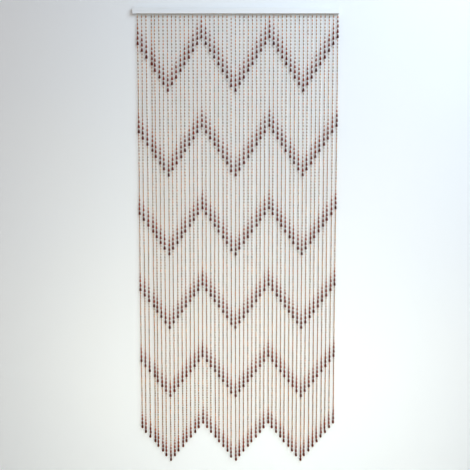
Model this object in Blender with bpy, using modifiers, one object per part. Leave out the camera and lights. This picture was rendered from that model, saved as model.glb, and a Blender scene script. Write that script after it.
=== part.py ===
"""Door curtain: strands of wooden beads that hang in chevrons from a plain header rail.

Metres, +Z up. The origin is the middle of the rail's back face, the face that goes against the wall.
X runs along the rail and the curtain's front faces -Y. Strand 0 is the first at the left, at -X.
Depths are measured down from the rail's underside.
"""

import math

import bmesh
import bpy
from mathutils import Vector

# Rail
RAIL_LENGTH = 0.900
RAIL_HEIGHT = 0.027
RAIL_DEPTH = 0.016
RAIL_EDGE = 0.0008
RAIL_EDGE_SEGMENTS = 2

# Backing strips in the groove under the rail
CLEARANCE = 0.0003
STRIP_HEIGHT = 0.006
STRIP_DEPTH = 0.0046
STRIP_LEFT_MARGIN = 0.004
STRIP_RIGHT_MARGIN = 0.003

# Strands along the rail
STRAND_COUNT = 48
STRAND_PITCH = 0.01859
FIRST_STRAND_INSET = 0.0212
MOVED_ALONG_RAIL = {3: 0.0048}
HANGS_LOWER = {22: 0.009}

# Chevrons: a strand has two more small beads above its first graded group for each place from a peak
CHEVRON_STRANDS = 16
BEADS_PER_STEP = 2
GROUP_ROWS = 6
FILL_BEADS = 20

# Beads, each with the cord that shows below it; they settle downwards, so the gap closes towards the hem
LEAD_CORD = 0.0074
LEAD_WIDTH = 0.0022
LEAD_FLARE = 0.0018
SMALL_LENGTH = 0.0090
SMALL_DIAMETER = 0.0048
GRADED_LENGTHS = (0.0107, 0.0129, 0.0159, 0.0167, 0.0169)
GRADED_DIAMETERS = (0.0054, 0.0065, 0.0075, 0.0084, 0.0097)
SHAPED_BEADS = 3
NECK_DIAMETER = 0.0042
WIDEST_AT = 0.76
GAP_AT_RAIL = 0.0058
GAP_AT_HEM = 0.0015
CURTAIN_DROP = 2.01

# A square with a round bead's cross-section area has this share of its diameter as its side
SQUARE_SIDE = math.sqrt(math.pi) / 2

# Unevenness: a slow sway of each strand, and the last beads that hang askew
SWAY = 0.0010
SWAY_DEPTH = 0.0005
SWAY_LENGTH = 1.45
SWAY_TURN = 2.4
SWAY_FRONT_RATE = 1.7
ASKEW_LAST_BEAD = {2: -0.0024, 43: 0.0026, 44: -0.0026, 45: 0.0030, 46: 0.0028, 47: -0.0012}

# Colour, roughness, metallic
RAIL_PAINT = ((0.86, 0.87, 0.87), 0.45, 0.0)
BEAD_WOODS = {
    "strands_left": ((0.30, 0.17, 0.08), 0.45, 0.0),
    "strands_middle": ((0.32, 0.18, 0.09), 0.45, 0.0),
    "strands_right": ((0.28, 0.16, 0.08), 0.45, 0.0),
}

RAIL_UNDERSIDE = -RAIL_HEIGHT / 2
STRAND_Y = -RAIL_DEPTH / 2
STRIP_BOTTOM = RAIL_UNDERSIDE + CLEARANCE


def clear_scene():
    for thing in list(bpy.data.objects):
        bpy.data.objects.remove(thing, do_unlink=True)


def new_collection(name):
    collection = bpy.data.collections.new(name)
    bpy.context.scene.collection.children.link(collection)
    return collection


def new_material(name, colour, roughness, metallic):
    material = bpy.data.materials.new(name)
    material.use_nodes = True
    shader = material.node_tree.nodes["Principled BSDF"]
    shader.inputs["Base Color"].default_value = (*colour, 1.0)
    shader.inputs["Roughness"].default_value = roughness
    shader.inputs["Metallic"].default_value = metallic
    return material


def new_object(name, form, collection, material=None):
    mesh = bpy.data.meshes.new(name)
    form.to_mesh(mesh)
    form.free()
    if material:
        mesh.materials.append(material)
    thing = bpy.data.objects.new(name, mesh)
    collection.objects.link(thing)
    return thing


def box(low, high):
    """A bmesh box between two corners."""
    form = bmesh.new()
    bmesh.ops.create_cube(form, size=1.0)
    size = [top - bottom for bottom, top in zip(low, high)]
    middle = [(top + bottom) / 2 for bottom, top in zip(low, high)]
    bmesh.ops.scale(form, vec=size, verts=form.verts)
    bmesh.ops.translate(form, vec=middle, verts=form.verts)
    return form


def strand_x(strand):
    even_place = -RAIL_LENGTH / 2 + FIRST_STRAND_INSET + strand * STRAND_PITCH
    return even_place + MOVED_ALONG_RAIL.get(strand, 0.0)


def steps_from_peak(strand):
    place = (strand + 1) % CHEVRON_STRANDS
    return min(place, CHEVRON_STRANDS - place)


def first_bead_depth(strand):
    return LEAD_CORD + HANGS_LOWER.get(strand, 0.0)


def gap_below(depth):
    """Length of bare cord under a bead that ends at this depth."""
    return GAP_AT_RAIL + (GAP_AT_HEM - GAP_AT_RAIL) * depth / CURTAIN_DROP


def sway(strand, depth):
    """Sideways and forward drift of a strand at a depth, nothing at the rail."""
    start = SWAY_TURN * strand
    angle = start + 2 * math.pi * depth / SWAY_LENGTH
    reach = math.sqrt(depth / CURTAIN_DROP)
    sideways = SWAY * reach * (math.sin(angle) - math.sin(start))
    forward = SWAY_DEPTH * reach * math.sin(SWAY_FRONT_RATE * angle)
    return sideways, forward


def graded_groups(strand):
    """For each graded group, its beads from the smallest down, each as (depth of its top, length, diameter)."""
    depth = first_bead_depth(strand)
    groups = []
    for row in range(GROUP_ROWS):
        small_beads = FILL_BEADS if row else BEADS_PER_STEP * steps_from_peak(strand)
        for _ in range(small_beads):
            depth += SMALL_LENGTH
            depth += gap_below(depth)
        beads = []
        for length, diameter in zip(GRADED_LENGTHS, GRADED_DIAMETERS):
            beads.append((depth, length, diameter))
            depth += length
            depth += gap_below(depth)
        groups.append(beads)
    return groups


def strand_rings(strand):
    """The strand's square sections from the rail down, as (depth, diameter, shift to the right).

    The last few beads of a group have a neck and a widest section each; the rest run together.
    """
    first_bead = first_bead_depth(strand)
    groups = graded_groups(strand)
    rings = [(first_bead - LEAD_FLARE, LEAD_WIDTH, 0.0)]
    if steps_from_peak(strand):
        rings.append((first_bead, SMALL_DIAMETER, 0.0))
    for row, beads in enumerate(groups):
        askew = ASKEW_LAST_BEAD.get(strand, 0.0) if row == GROUP_ROWS - 1 else 0.0
        group_top = beads[0][0]
        rings.append((group_top, SMALL_DIAMETER, 0.0))
        shaped = beads[-SHAPED_BEADS:]
        for place, (top, length, diameter) in enumerate(shaped):
            if place:
                rings.append((top - gap_below(top) / 2, NECK_DIAMETER, 0.0))
            is_last = place == SHAPED_BEADS - 1
            rings.append((top + WIDEST_AT * length, diameter, askew * WIDEST_AT if is_last else 0.0))
        bottom = shaped[-1][0] + shaped[-1][1]
        rings.append((bottom, SMALL_DIAMETER, askew))
    return rings


def extrude_ring(form, face, centre, side):
    """Extrudes a four-sided face to a square section of this side around a point, and returns it."""
    face = bmesh.ops.extrude_discrete_faces(form, faces=[face])["faces"][0]
    middle = face.calc_center_median()
    for vert in face.verts:
        out = vert.co - middle
        vert.co.x = centre[0] + math.copysign(side / 2, out.x)
        vert.co.y = centre[1] + math.copysign(side / 2, out.y)
        vert.co.z = centre[2]
    return face


def grow_strand(form, strand):
    """Extrudes one strand, ring by ring, down from its own square on the strip's underside."""
    x = strand_x(strand)
    square = Vector((x, STRAND_Y, STRIP_BOTTOM))
    end = min(form.faces, key=lambda face: (face.calc_center_median() - square).length)
    for depth, diameter, shift in strand_rings(strand):
        sideways, forward = sway(strand, depth)
        centre = (x + sideways + shift, STRAND_Y + forward, RAIL_UNDERSIDE - depth)
        end = extrude_ring(form, end, centre, diameter * SQUARE_SIDE)


def strand_set(name, strands, low_x, high_x, collection):
    """One backing strip with its strands, all one closed body."""
    low = (low_x, STRAND_Y - STRIP_DEPTH / 2, STRIP_BOTTOM)
    high = (high_x, STRAND_Y + STRIP_DEPTH / 2, STRIP_BOTTOM + STRIP_HEIGHT)
    form = box(low, high)
    for strand in strands:
        for side in (-1, 1):
            bmesh.ops.bisect_plane(
                form,
                geom=form.verts[:] + form.edges[:] + form.faces[:],
                plane_co=(strand_x(strand) + side * LEAD_WIDTH / 2, 0, 0),
                plane_no=(1, 0, 0),
            )
    for strand in strands:
        grow_strand(form, strand)
    bmesh.ops.recalc_face_normals(form, faces=form.faces[:])
    return new_object(name, form, collection, new_material(name + "_wood", *BEAD_WOODS[name]))


def header_rail(collection, cutters):
    low = (-RAIL_LENGTH / 2, -RAIL_DEPTH, RAIL_UNDERSIDE)
    high = (RAIL_LENGTH / 2, 0.0, RAIL_HEIGHT / 2)
    rail = new_object("header_rail", box(low, high), collection, new_material("rail_paint", *RAIL_PAINT))
    bevel = rail.modifiers.new("rounded edges", "BEVEL")
    bevel.width = RAIL_EDGE
    bevel.segments = RAIL_EDGE_SEGMENTS

    half_width = STRIP_DEPTH / 2 + CLEARANCE
    groove_left = strand_x(0) - STRIP_LEFT_MARGIN - CLEARANCE
    groove_right = strand_x(STRAND_COUNT - 1) + STRIP_RIGHT_MARGIN + CLEARANCE
    groove_top = STRIP_BOTTOM + STRIP_HEIGHT + CLEARANCE
    groove_low = (groove_left, STRAND_Y - half_width, RAIL_UNDERSIDE - RAIL_HEIGHT)
    groove_high = (groove_right, STRAND_Y + half_width, groove_top)
    groove = new_object("groove_cutter", box(groove_low, groove_high), cutters)
    groove.hide_render = True
    groove.display_type = "WIRE"
    cut = rail.modifiers.new("groove", "BOOLEAN")
    cut.object = groove
    cut.operation = "DIFFERENCE"
    cut.solver = "EXACT"


def build():
    clear_scene()
    curtain = new_collection("door_curtain")
    cutters = new_collection("cutters")
    header_rail(curtain, cutters)

    half_span = (STRAND_PITCH - CLEARANCE) / 2
    names = list(BEAD_WOODS)
    for place, name in enumerate(names):
        first = place * CHEVRON_STRANDS
        last = first + CHEVRON_STRANDS - 1
        left_margin = STRIP_LEFT_MARGIN if name == names[0] else half_span
        right_margin = STRIP_RIGHT_MARGIN if name == names[-1] else half_span
        strands = range(first, last + 1)
        strand_set(name, strands, strand_x(first) - left_margin, strand_x(last) + right_margin, curtain)


build()
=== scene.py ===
"""Door curtain of wooden beads on strings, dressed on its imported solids.

Metres, +Z up. The rail's back is against the wall at Y = 0 and the curtain's front faces -Y.
Strand 0 is the first at the left. Depths are measured down from the rail's underside.
"""

import math

import bmesh
import bpy
import numpy as np
from mathutils import Matrix, Vector


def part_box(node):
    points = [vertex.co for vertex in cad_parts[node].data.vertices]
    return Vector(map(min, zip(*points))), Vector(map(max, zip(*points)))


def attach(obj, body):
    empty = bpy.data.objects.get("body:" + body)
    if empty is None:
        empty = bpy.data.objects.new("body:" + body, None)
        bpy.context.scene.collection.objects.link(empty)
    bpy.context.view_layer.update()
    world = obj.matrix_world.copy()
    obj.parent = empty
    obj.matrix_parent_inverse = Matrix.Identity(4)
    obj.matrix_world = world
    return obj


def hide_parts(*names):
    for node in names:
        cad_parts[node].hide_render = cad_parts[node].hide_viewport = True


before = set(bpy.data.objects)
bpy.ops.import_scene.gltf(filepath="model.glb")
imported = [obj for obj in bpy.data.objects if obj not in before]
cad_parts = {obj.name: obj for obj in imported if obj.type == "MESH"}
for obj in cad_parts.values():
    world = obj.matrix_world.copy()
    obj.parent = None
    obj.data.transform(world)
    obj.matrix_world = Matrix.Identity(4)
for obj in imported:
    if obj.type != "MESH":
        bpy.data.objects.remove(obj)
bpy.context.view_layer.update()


# Header rail
# A planed softwood batten, one length, square at its ends and brushed with two coats of white satin paint.
# It lies flat on the wall, and a narrow groove in its underside takes the tapes that the strings hang from.


def colour(red, green, blue):
    """An 8-bit colour as the shader's linear values."""
    channels = []
    for value in (red, green, blue):
        value /= 255
        channels.append(value / 12.92 if value <= 0.04045 else ((value + 0.055) / 1.055) ** 2.4)
    return (*channels, 1.0)


def new_finish(name):
    """A material with its node tree and its shader."""
    finish = bpy.data.materials.new(name)
    finish.use_nodes = True
    return finish, finish.node_tree, finish.node_tree.nodes["Principled BSDF"]


def add_node(tree, kind, inputs=None, **settings):
    """A shader node with its settings, and its inputs given as values or as the sockets that feed them."""
    node = tree.nodes.new("ShaderNode" + kind)
    for name, value in settings.items():
        setattr(node, name, value)
    for name, value in (inputs or {}).items():
        if isinstance(value, bpy.types.NodeSocket):
            tree.links.new(value, node.inputs[name])
        else:
            node.inputs[name].default_value = value
    return node


def blend_colours(tree, amount, first, second):
    """First colour where the amount is 0 and second where it is 1."""
    return add_node(tree, "MixRGB", {"Fac": amount, "Color1": first, "Color2": second}).outputs["Color"]


def ramp(tree, value, from_low, from_high, to_low=0.0, to_high=1.0):
    """The value carried over from one range to another and held at the ends."""
    ends = {"From Min": from_low, "From Max": from_high, "To Min": to_low, "To Max": to_high}
    return add_node(tree, "MapRange", {"Value": value, **ends}).outputs["Result"]


def streaks(tree, place, scale, detail=3.0):
    """Noise stretched along the axis of the smallest scale."""
    stretched = add_node(tree, "Mapping", {"Vector": place, "Scale": scale})
    noise_inputs = {"Vector": stretched.outputs["Vector"], "Scale": 1.0, "Detail": detail}
    return add_node(tree, "TexNoise", noise_inputs).outputs["Fac"]


def satin_paint():
    """White satin paint with brush marks and raised grain that run along the rail."""
    paint, tree, shader = new_finish("white_satin_paint")
    place = add_node(tree, "TexCoord").outputs["Object"]
    brush_marks = streaks(tree, place, (7, 600, 900))
    raised_grain = streaks(tree, place, (14, 260, 420), 2.0)
    cloudiness = streaks(tree, place, (5, 30, 60), 1.0)
    fresh = blend_colours(tree, cloudiness, colour(222, 231, 238), colour(229, 234, 236))
    ridges = ramp(tree, raised_grain, 0.5, 0.8, 0.0, 0.35)
    brushed = blend_colours(tree, ridges, fresh, colour(204, 210, 212))

    # The paint is thin on the long edges, and the primer shows in short rubs
    height = add_node(tree, "SeparateXYZ", {"Vector": place}).outputs["Z"]
    from_middle = add_node(tree, "Math", {0: height}, operation="ABSOLUTE").outputs["Value"]
    wear_from = rail_half_height - edge_wear_reach
    wear_full = rail_half_height - edge_wear_full
    near_edge = ramp(tree, from_middle, wear_from, wear_full)
    rubbed = ramp(tree, streaks(tree, place, (38, 90, 90)), 0.56, 0.66, 0.0, 0.7)
    edge_wear = add_node(tree, "Math", {0: near_edge, 1: rubbed}, operation="MULTIPLY").outputs["Value"]
    worn = blend_colours(tree, edge_wear, brushed, colour(205, 200, 188))
    tree.links.new(worn, shader.inputs["Base Color"])
    tree.links.new(ramp(tree, brush_marks, 0.3, 0.7, 0.36, 0.52), shader.inputs["Roughness"])

    relief = add_node(tree, "Math", {0: brush_marks, 1: raised_grain}, operation="ADD").outputs["Value"]
    bump = add_node(tree, "Bump", {"Height": relief, "Strength": 0.35, "Distance": 0.0002})
    tree.links.new(bump.outputs["Normal"], shader.inputs["Normal"])
    return paint


rail_low, rail_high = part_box("header_rail")
rail_half_height = (rail_high.z - rail_low.z) / 2

# The wear starts this far in from the long edges, and is full from this close to them
edge_wear_reach = 0.0011
edge_wear_full = 0.0002

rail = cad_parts["header_rail"]
rail.data.materials.clear()
rail.data.materials.append(satin_paint())


# Strings
# 48 twisted cotton strings in three sets of 16. The strings of a set are sewn into a narrow woven tape,
# which is stapled up in the rail's groove. Each string ends in a knot under its last bead.

strand_count = 48
strand_pitch = 0.01859
first_strand_inset = 0.0212

# One strand sits off its even place on the rail, and one hangs low
moved_along_rail = {3: 0.0048}
hangs_lower = {22: 0.009}

sets = {"left": range(0, 16), "middle": range(16, 32), "right": range(32, 48)}

chevron_strands = 16
beads_per_step = 2
group_rows = 6
fill_beads = 20
lead_cord = 0.0074
bead_lengths = (0.0090, 0.0107, 0.0129, 0.0159, 0.0167, 0.0169)
bead_diameters = (0.0048, 0.0054, 0.0065, 0.0075, 0.0084, 0.0097)
gap_at_rail = 0.0058
gap_at_hem = 0.0015
curtain_drop = 2.01

sway_width = 0.0010
sway_depth = 0.0005
sway_length = 1.45
sway_turn = 2.4
sway_front_rate = 1.7

rail_underside = rail_low.z
strand_y = (rail_low.y + rail_high.y) / 2


def strand_x(strand):
    """The place of a strand's root along the rail."""
    even_place = rail_low.x + first_strand_inset + strand * strand_pitch
    return even_place + moved_along_rail.get(strand, 0.0)


def sway(strand, depth):
    """Sideways and forward drift of a strand, nothing at the rail and about a millimetre at the hem."""
    start = sway_turn * strand
    angle = start + 2 * math.pi * depth / sway_length
    reach = math.sqrt(depth / curtain_drop)
    sideways = sway_width * reach * (math.sin(angle) - math.sin(start))
    forward = sway_depth * reach * math.sin(sway_front_rate * angle)
    return sideways, forward


def string_point(strand, depth):
    """The middle of a string at this depth, or straight above it in the rail's groove."""
    sideways, forward = sway(strand, max(depth, 0.0))
    return Vector((strand_x(strand) + sideways, strand_y + forward, rail_underside - depth))


def strand_beads(strand):
    """The strand's beads from the rail down, each as (depth of its top, rank).

    Rank 0 is a small bead, and 1 to 5 are the graded ones up to the largest.
    """
    place = (strand + 1) % chevron_strands
    steps_from_peak = min(place, chevron_strands - place)
    depth = lead_cord + hangs_lower.get(strand, 0.0)
    beads = []
    for row in range(group_rows):
        small_beads = fill_beads if row else beads_per_step * steps_from_peak
        for rank in [0] * small_beads + [1, 2, 3, 4, 5]:
            beads.append((depth, rank))
            depth += bead_lengths[rank]
            depth += gap_at_rail + (gap_at_hem - gap_at_rail) * depth / curtain_drop
    return beads


def twisted_cotton():
    """Cream cotton with two plies that wind round each string, from the side it faces and its height, and
    painted shade in the furrows between the plies.
    """
    cotton, tree, shader = new_finish("twisted_cotton")
    facing = add_node(tree, "Attribute", attribute_name="facing").outputs["Vector"]
    side = add_node(tree, "SeparateXYZ", {"Vector": facing})
    place = add_node(tree, "TexCoord").outputs["Object"]
    height = add_node(tree, "SeparateXYZ", {"Vector": place}).outputs["Z"]
    towards = {0: side.outputs["Y"], 1: side.outputs["X"]}
    turn = add_node(tree, "Math", towards, operation="ARCTAN2").outputs["Value"]
    winding_inputs = {0: height, 1: 2 * math.pi / ply_turn, 2: turn}
    winding = add_node(tree, "Math", winding_inputs, operation="MULTIPLY_ADD").outputs["Value"]
    doubled = add_node(tree, "Math", {0: winding, 1: 2.0}, operation="MULTIPLY").outputs["Value"]
    plies = add_node(tree, "Math", {0: doubled}, operation="SINE").outputs["Value"]
    fibres = streaks(tree, place, (2600, 2600, 900))
    yarn = blend_colours(tree, fibres, colour(222, 200, 158), colour(243, 228, 194))
    # Painted shade: the furrows between the plies are darkened in the colour
    shaded_furrows = blend_colours(tree, ramp(tree, plies, -1.0, 0.0, 0.45, 0.0), yarn, colour(176, 142, 94))
    tree.links.new(shaded_furrows, shader.inputs["Base Color"])
    shader.inputs["Roughness"].default_value = 0.85
    shader.inputs["Sheen Weight"].default_value = 0.25
    relief = add_node(tree, "Math", {0: plies, 1: fibres}, operation="ADD").outputs["Value"]
    bump = add_node(tree, "Bump", {"Height": relief, "Strength": 0.6, "Distance": 0.00012})
    tree.links.new(bump.outputs["Normal"], shader.inputs["Normal"])
    return cotton


def ring(form, facing_layer, centre, radius, sides):
    """A ring of vertices round a point of a string, each told which way it faces."""
    verts = []
    for side in range(sides):
        angle = 2 * math.pi * side / sides
        out = Vector((math.cos(angle), math.sin(angle), 0.0))
        vert = form.verts.new(centre + radius * out)
        vert[facing_layer] = out
        verts.append(vert)
    return verts


def join_rings(form, rings):
    """Skins a run of rings and closes its two ends."""
    for upper, lower in zip(rings, rings[1:]):
        for side in range(len(upper)):
            after = (side + 1) % len(upper)
            face = form.faces.new((upper[side], lower[side], lower[after], upper[after]))
            face.smooth = True
    form.faces.new(rings[0])
    form.faces.new(rings[-1][::-1])


string_radius = 0.0006
string_sides = 6
ply_turn = 0.0028
root_height = 0.003
point_spacing = 0.04

# Depth below the last bead, and thickness in string radii
knot_profile = (
    (0.0004, 0.7), (0.0008, 1.75), (0.0014, 2.2), (0.0019, 1.3),
    (0.0023, 1.9), (0.0028, 1.0), (0.0048, 1.1),
)


def add_string(form, facing_layer, strand):
    """One string, from inside the groove to the knot under its last bead."""
    last_top, last_rank = strand_beads(strand)[-1]
    end = last_top + bead_lengths[last_rank]
    points = max(2, round((end + root_height) / point_spacing))
    rings = []
    for point in range(points):
        depth = -root_height + (end + root_height) * point / points
        rings.append(ring(form, facing_layer, string_point(strand, depth), string_radius, string_sides))
    for below_bead, thickness in knot_profile:
        centre = string_point(strand, end + below_bead)
        rings.append(ring(form, facing_layer, centre, string_radius * thickness, string_sides))
    join_rings(form, rings)


def woven_tape():
    """Cotton twill tape: ribs of weft across it and a fine diagonal warp."""
    twill, tree, shader = new_finish("woven_tape")
    place = add_node(tree, "TexCoord").outputs["Object"]
    across = add_node(tree, "TexWave", {"Vector": place, "Scale": 420.0, "Distortion": 0.6, "Detail": 1.0})
    slanted = add_node(tree, "Mapping", {"Vector": place, "Rotation": (0.0, 0.0, 0.9)}).outputs["Vector"]
    diagonal = add_node(tree, "TexWave", {"Vector": slanted, "Scale": 300.0, "Distortion": 0.4})
    crossing = {0: across.outputs["Fac"], 1: diagonal.outputs["Fac"]}
    threads = add_node(tree, "Math", crossing, operation="MULTIPLY").outputs["Value"]
    dyed = blend_colours(tree, threads, colour(176, 158, 124), colour(222, 208, 178))
    tree.links.new(dyed, shader.inputs["Base Color"])
    shader.inputs["Roughness"].default_value = 0.9
    bump = add_node(tree, "Bump", {"Height": threads, "Strength": 0.5, "Distance": 0.0002})
    tree.links.new(bump.outputs["Normal"], shader.inputs["Normal"])
    return twill


tape_height = 0.006
tape_depth = 0.0046
tape_inset = 0.0002
tape_clearance = 0.0003
tape_fold = 0.0014
tape_left_margin = 0.004
tape_right_margin = 0.003

# The mesh's first finish is the strings' cotton and its second the tape's twill
tape_finish = 1


def add_tape(form, low_x, high_x):
    """The tape that fills the groove over one set, its long edges rounded like a folded ribbon."""
    made = bmesh.ops.create_cube(form, size=1.0)["verts"]
    width = high_x - low_x
    bottom = rail_underside + tape_clearance
    bmesh.ops.scale(form, vec=(width, tape_depth, tape_height), verts=made)
    bmesh.ops.translate(form, vec=((low_x + high_x) / 2, strand_y, bottom + tape_height / 2), verts=made)
    edges = {edge for vert in made for edge in vert.link_edges}
    long_edges = [edge for edge in edges if abs(edge.verts[0].co.x - edge.verts[1].co.x) > width / 2]
    fold = {"offset": tape_fold, "segments": 3, "affect": "EDGES", "profile": 0.5}
    rounded = bmesh.ops.bevel(form, geom=long_edges, **fold)
    for face in {face for vert in rounded["verts"] for face in vert.link_faces}:
        face.smooth = True
    for face in form.faces:
        face.material_index = tape_finish


def new_piece(name, mesh, node):
    """A piece of the dressed curtain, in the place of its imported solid."""
    piece = bpy.data.objects.new(name, mesh)
    bpy.context.scene.collection.objects.link(piece)
    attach(piece, "root")
    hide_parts(node)


cotton = twisted_cotton()
twill = woven_tape()
for set_name, strands in sets.items():
    form = bmesh.new()
    facing_layer = form.verts.layers.float_vector.new("facing")
    half_span = strand_pitch / 2 - tape_inset
    low_x = max(strand_x(strands[0]) - half_span, strand_x(0) - tape_left_margin)
    high_x = min(strand_x(strands[-1]) + half_span, strand_x(strand_count - 1) + tape_right_margin)
    add_tape(form, low_x, high_x)
    for strand in strands:
        add_string(form, facing_layer, strand)
    mesh = bpy.data.meshes.new("strings_" + set_name)
    form.to_mesh(mesh)
    form.free()
    mesh.materials.append(cotton)
    mesh.materials.append(twill)
    new_piece("strings_" + set_name, mesh, "strands_" + set_name)


# Small beads
# Slim teardrops turned from beech, 9 mm long, bored through, tumbled with stain and clear lacquer.
# Their colour runs from olive and grey-brown to tan, and they hang with their narrow ends up.

# Height down the bead and radius, as shares of its length and of its largest radius
small_profile = (
    (0.0, 0.30), (0.07, 0.41), (0.25, 0.62), (0.50, 0.87),
    (0.75, 1.0), (0.91, 0.86), (1.0, 0.50),
)
small_sides = 8

# How far a bead hangs off true: its tilt, its play on the string, its slip along it, and its unevenness
bead_tilt = 0.016
bead_play = 0.00018
bead_slip = 0.0003
length_spread = 0.02
diameter_spread = 0.03

# Each small bead takes its own mix of these stains, strong or thin. A low evenness keeps the mixes apart
turned = np.random.default_rng(seed=48)
mix_evenness = 0.35
small_lightness = (0.65, 1.3)
small_stains = np.array([
    colour(188, 120, 60),
    colour(144, 120, 70),
    colour(174, 97, 46),
    colour(118, 84, 53),
    colour(196, 142, 84),
])[:, :3]


def bead_form(profile, sides):
    """One bead's turned form, length 1 and radius 1: its vertices, its faces and each vertex's height."""
    corners = []
    heights = []
    for height, radius in profile:
        for side in range(sides):
            angle = 2 * math.pi * side / sides
            corners.append((radius * math.cos(angle), radius * math.sin(angle), -height))
            heights.append(height)
    faces = [list(range(sides))]
    for level in range(len(profile) - 1):
        for side in range(sides):
            after = (side + 1) % sides
            upper, lower = level * sides, (level + 1) * sides
            faces.append([upper + side, lower + side, lower + after, upper + after])
    faces.append(list(range(len(corners) - 1, len(corners) - sides - 1, -1)))
    return np.array(corners), faces, np.array(heights)


def beads_mesh(name, profile, sides, beads, stains, finish):
    """All beads of one kind in a set as one mesh, each turned, sized and tilted a little differently.

    Each vertex is told its bead's stain and how far down the bead it is.
    """
    corners, faces, heights = bead_form(profile, sides)
    places, tints = [], []
    for (top, length, diameter, lean), stain in zip(beads, stains):
        size = Matrix.Diagonal((diameter / 2, diameter / 2, length)).to_3x3()
        spin = Matrix.Rotation(turned.uniform(0, 2 * math.pi), 3, "Z")
        sideways = Matrix.Rotation(lean + turned.normal(0, bead_tilt), 3, "Y")
        forward = Matrix.Rotation(turned.normal(0, bead_tilt), 3, "X")
        turn = np.array(sideways @ forward @ spin @ size)
        places.append(corners @ turn.T + np.array(top))
        tints.append(np.tile(stain, (len(corners), 1)))
    count = len(corners)
    all_faces = [[corner + bead * count for corner in face] for bead in range(len(beads)) for face in faces]
    mesh = bpy.data.meshes.new(name)
    mesh.from_pydata(np.concatenate(places).tolist(), [], all_faces)
    smooth = np.tile([0] + [1] * (len(faces) - 2) + [0], len(beads))
    mesh.polygons.foreach_set("use_smooth", smooth.astype(bool))
    stain_values = np.concatenate(tints)
    stain_values = np.column_stack([stain_values, np.ones(len(stain_values))])
    stain_layer = mesh.attributes.new("stain", "FLOAT_COLOR", "POINT")
    stain_layer.data.foreach_set("color", stain_values.astype(np.float32).ravel())
    height_layer = mesh.attributes.new("height", "FLOAT", "POINT")
    height_layer.data.foreach_set("value", np.tile(heights, len(beads)).astype(np.float32))
    mesh.materials.append(finish)
    mesh.update()
    return mesh


def shade_of(tree, stain, saturation, value):
    """The stain made stronger or duller, and lighter or darker."""
    inputs = {"Color": stain, "Saturation": saturation, "Value": value}
    return add_node(tree, "HueSaturation", inputs).outputs["Color"]


def lacquered_wood():
    """Stained beech: each bead's own stain, streaked by its grain, and darker at its ends from stain soaked
    into the end grain and from painted shade where the bead curves in.
    """
    wood, tree, shader = new_finish("lacquered_bead_wood")
    stain = add_node(tree, "Attribute", attribute_name="stain").outputs["Color"]
    height = add_node(tree, "Attribute", attribute_name="height").outputs["Fac"]
    place = add_node(tree, "TexCoord").outputs["Object"]
    grain = streaks(tree, place, (1500, 1500, 110))
    pores = streaks(tree, place, (4200, 4200, 420), 1.0)
    dark = shade_of(tree, stain, 1.1, 0.60)
    light = shade_of(tree, stain, 0.97, 1.32)
    grained = blend_colours(tree, ramp(tree, grain, 0.32, 0.68), dark, light)
    flecked = blend_colours(tree, ramp(tree, pores, 0.60, 0.72, 0.0, 0.45), grained, dark)
    # Darker towards both ends: stain soaked into the end grain, and painted shade where the bead curves in
    top_end = ramp(tree, height, 0.0, 0.16, 0.6, 0.0)
    bottom_end = ramp(tree, height, 0.86, 1.0, 0.0, 0.75)
    ends = add_node(tree, "Math", {0: top_end, 1: bottom_end}, operation="ADD").outputs["Value"]
    soaked_and_shaded = blend_colours(tree, ends, flecked, dark)
    tree.links.new(soaked_and_shaded, shader.inputs["Base Color"])
    tree.links.new(ramp(tree, grain, 0.2, 0.8, 0.40, 0.56), shader.inputs["Roughness"])
    shader.inputs["Specular IOR Level"].default_value = 0.3
    shader.inputs["Specular Tint"].default_value = colour(255, 222, 186)
    shader.inputs["Coat Weight"].default_value = 0.15
    shader.inputs["Coat Roughness"].default_value = 0.25
    bump = add_node(tree, "Bump", {"Height": grain, "Strength": 0.3, "Distance": 0.00015})
    tree.links.new(bump.outputs["Normal"], shader.inputs["Normal"])
    return wood


def uneven(value, spread):
    return value * (1 + turned.normal(0, spread))


def hung_bead(strand, depth, rank, lean=0.0):
    """One bead on its string as (its top, length, diameter, lean), a little off true as strung by hand."""
    top = string_point(strand, depth)
    spreads = (bead_play, bead_play, bead_slip)
    top += Vector([turned.normal(0, spread) for spread in spreads])
    length = uneven(bead_lengths[rank], length_spread)
    diameter = uneven(bead_diameters[rank], diameter_spread)
    return top, length, diameter, lean


wood = lacquered_wood()
for set_name, strands in sets.items():
    beads = []
    stains = []
    for strand in strands:
        for depth, rank in strand_beads(strand):
            if rank == 0:
                beads.append(hung_bead(strand, depth, rank))
                mixed = turned.dirichlet(np.full(len(small_stains), mix_evenness)) @ small_stains
                stains.append(mixed * turned.uniform(*small_lightness))
    name = "small_beads_" + set_name
    mesh = beads_mesh(name, small_profile, small_sides, beads, stains, wood)
    new_piece(name, mesh, "strands_" + set_name)


# Graded beads
# Five larger teardrops at the foot of each run, 11 to 17 mm long, the same turned and lacquered beech.
# The stain deepens with size from orange-brown to dark red-brown, and six strands' last beads hang askew.

graded_profile = (
    (0.0, 0.26), (0.03, 0.36), (0.18, 0.53), (0.38, 0.74), (0.58, 0.91),
    (0.77, 1.0), (0.89, 0.93), (0.97, 0.72), (1.0, 0.46),
)
graded_sides = 12
graded_lightness = (0.85, 1.2)

# Each rank's stain lies between these two
graded_stains = {
    1: (colour(176, 106, 40), colour(156, 86, 31)),
    2: (colour(160, 84, 26), colour(138, 66, 21)),
    3: (colour(144, 65, 22), colour(122, 50, 18)),
    4: (colour(133, 52, 19), colour(107, 39, 15)),
    5: (colour(110, 38, 16), colour(84, 28, 12)),
}
askew_last_beads = {2: -0.0024, 43: 0.0026, 44: -0.0026, 45: 0.0030, 46: 0.0028, 47: -0.0012}

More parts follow.
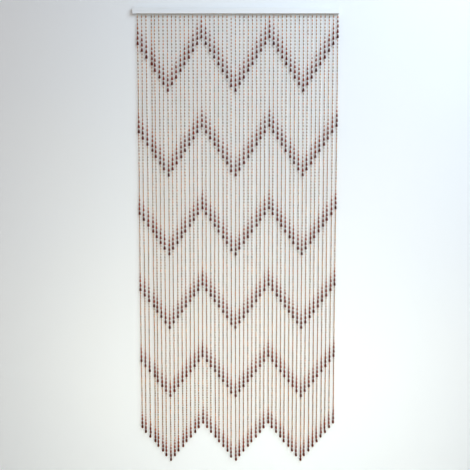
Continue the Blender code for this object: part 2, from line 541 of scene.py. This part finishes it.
for set_name, strands in sets.items():
    beads = []
    stains = []
    for strand in strands:
        row_of_beads = strand_beads(strand)
        for place, (depth, rank) in enumerate(row_of_beads):
            if rank:
                is_last = place == len(row_of_beads) - 1
                shift = askew_last_beads.get(strand, 0.0) if is_last else 0.0
                beads.append(hung_bead(strand, depth, rank, -shift / bead_lengths[rank]))
                first, second = (np.array(stain[:3]) for stain in graded_stains[rank])
                share = turned.uniform()
                mixed = first * share + second * (1 - share)
                stains.append(mixed * turned.uniform(*graded_lightness))
    name = "graded_beads_" + set_name
    mesh = beads_mesh(name, graded_profile, graded_sides, beads, stains, wood)
    new_piece(name, mesh, "strands_" + set_name)


# Wall and floor
# The stage: a smooth white painted wall that the rail is fixed to, and a pale floor below the hem.
# The wall shows from its front only and is open behind the rail, so the curtain's back can be seen as well.

wall_half_width = 3.0
wall_top = 1.2
wall_y = 0.0006
covered_by_rail = 0.0015
floor_z = -2.14
floor_half_depth = 3.5


def stage_plane(name, corners, faces, finish):
    """A flat piece of the stage, which is no part of the curtain."""
    mesh = bpy.data.meshes.new(name)
    mesh.from_pydata(corners, [], faces)
    mesh.materials.append(finish)
    plane = bpy.data.objects.new(name, mesh)
    bpy.context.scene.collection.objects.link(plane)
    return plane


def wall_paint():
    """Matt white paint with a fine stipple, clear when it is seen from behind."""
    paint, tree, shader = new_finish("wall_paint")
    place = add_node(tree, "TexCoord").outputs["Object"]
    mottle = streaks(tree, place, (1.2, 1.2, 1.2), 2.0)
    tone = blend_colours(tree, mottle, colour(227, 234, 240), colour(231, 236, 238))
    tree.links.new(tone, shader.inputs["Base Color"])
    shader.inputs["Roughness"].default_value = 0.9
    stipple = streaks(tree, place, (260, 260, 260), 2.0)
    bump = add_node(tree, "Bump", {"Height": stipple, "Strength": 0.06, "Distance": 0.0006})
    tree.links.new(bump.outputs["Normal"], shader.inputs["Normal"])
    behind = add_node(tree, "NewGeometry").outputs["Backfacing"]
    clear = add_node(tree, "BsdfTransparent").outputs["BSDF"]
    shown = tree.nodes.new("ShaderNodeMixShader")
    tree.links.new(behind, shown.inputs[0])
    tree.links.new(shader.outputs["BSDF"], shown.inputs[1])
    tree.links.new(clear, shown.inputs[2])
    tree.links.new(shown.outputs["Shader"], tree.nodes["Material Output"].inputs["Surface"])
    return paint


def floor_paint():
    """A pale matt floor with a faint mottle."""
    paint, tree, shader = new_finish("floor_paint")
    place = add_node(tree, "TexCoord").outputs["Object"]
    mottle = streaks(tree, place, (2, 2, 2), 2.0)
    tone = blend_colours(tree, mottle, colour(222, 222, 220), colour(230, 229, 226))
    tree.links.new(tone, shader.inputs["Base Color"])
    shader.inputs["Roughness"].default_value = 0.8
    return paint


# A grid of three columns and three rows of faces, less the one behind the rail
behind_rail = (1, 1)
wall_x = (-wall_half_width, rail_low.x + covered_by_rail, rail_high.x - covered_by_rail, wall_half_width)
wall_z = (floor_z, rail_low.z + covered_by_rail, rail_high.z - covered_by_rail, wall_top)
wall_corners = [(x, wall_y, z) for z in wall_z for x in wall_x]
wall_faces = []
for row in range(len(wall_z) - 1):
    for column in range(len(wall_x) - 1):
        corner = row * len(wall_x) + column
        above = corner + len(wall_x)
        if (row, column) != behind_rail:
            wall_faces.append((corner, corner + 1, above + 1, above))
wall = stage_plane("wall", wall_corners, wall_faces, wall_paint())
wall.visible_shadow = False
floor_corners = [
    (-wall_half_width, -floor_half_depth, floor_z),
    (wall_half_width, -floor_half_depth, floor_z),
    (wall_half_width, floor_half_depth, floor_z),
    (-wall_half_width, floor_half_depth, floor_z),
]
stage_plane("floor", floor_corners, [(0, 1, 2, 3)], floor_paint())


# Light and camera
# A big soft cool key from the upper right, a low warm beam that lifts the hem and stays off the rail, and
# even warm light from all round. The view is the photo's, from just below the second row of chevrons and
# pitched down a little.


def soft_light(name, place, aim, width, height, watts, tint, spread=math.pi):
    """A rectangular light that isn't seen itself."""
    lamp = bpy.data.lights.new(name, "AREA")
    lamp.shape = "RECTANGLE"
    lamp.size = width
    lamp.size_y = height
    lamp.energy = watts
    lamp.color = tint
    lamp.spread = spread
    light = bpy.data.objects.new(name, lamp)
    light.location = place
    light.rotation_euler = (aim - place).to_track_quat("-Z", "Y").to_euler()
    light.visible_camera = False
    bpy.context.scene.collection.objects.link(light)


curtain_middle = Vector((0.0, 0.0, -1.0))
key_direction = Vector((0.77, -1.0, 1.06)).normalized()
key_distance = 3.0
soft_light(
    "key", curtain_middle + key_distance * key_direction, curtain_middle,
    width=1.8, height=1.8, watts=57, tint=(0.755, 0.885, 1.0),
)
soft_light(
    "low_beam", Vector((0.5, -3.0, -1.8)), Vector((0.0, 0.0, -1.7)),
    width=1.6, height=0.5, watts=8.1, tint=(1.0, 0.978, 0.844), spread=math.radians(70),
)

# The room's light is warm, and beyond the wall and the floor it shows as a plain pale grey
world = bpy.data.worlds.new("pale_room")
world.use_nodes = True
room_tree = world.node_tree
room = room_tree.nodes["Background"]
room.inputs["Color"].default_value = (1.0, 0.853, 0.773, 1.0)
room.inputs["Strength"].default_value = 0.516
pale = add_node(room_tree, "Background", {"Color": colour(236, 237, 238)})
lit_or_seen = add_node(room_tree, "MixShader")
room_tree.links.new(add_node(room_tree, "LightPath").outputs["Is Camera Ray"], lit_or_seen.inputs[0])
room_tree.links.new(room.outputs["Background"], lit_or_seen.inputs[1])
room_tree.links.new(pale.outputs["Background"], lit_or_seen.inputs[2])
room_tree.links.new(lit_or_seen.outputs["Shader"], room_tree.nodes["World Output"].inputs["Surface"])
bpy.context.scene.world = world

view_pitch = 4.27
lens = bpy.data.cameras.new("camera")
lens.sensor_width = 36.0
lens.lens = 45.96
camera = bpy.data.objects.new("camera", lens)
camera.location = (-0.0036, -2.685, -0.779)
camera.rotation_euler = (math.radians(90 - view_pitch), 0.0, 0.0)
bpy.context.scene.collection.objects.link(camera)
bpy.context.scene.camera = camera
bpy.context.scene.view_settings.view_transform = "Standard"
bpy.context.scene.view_settings.gamma = 0.8
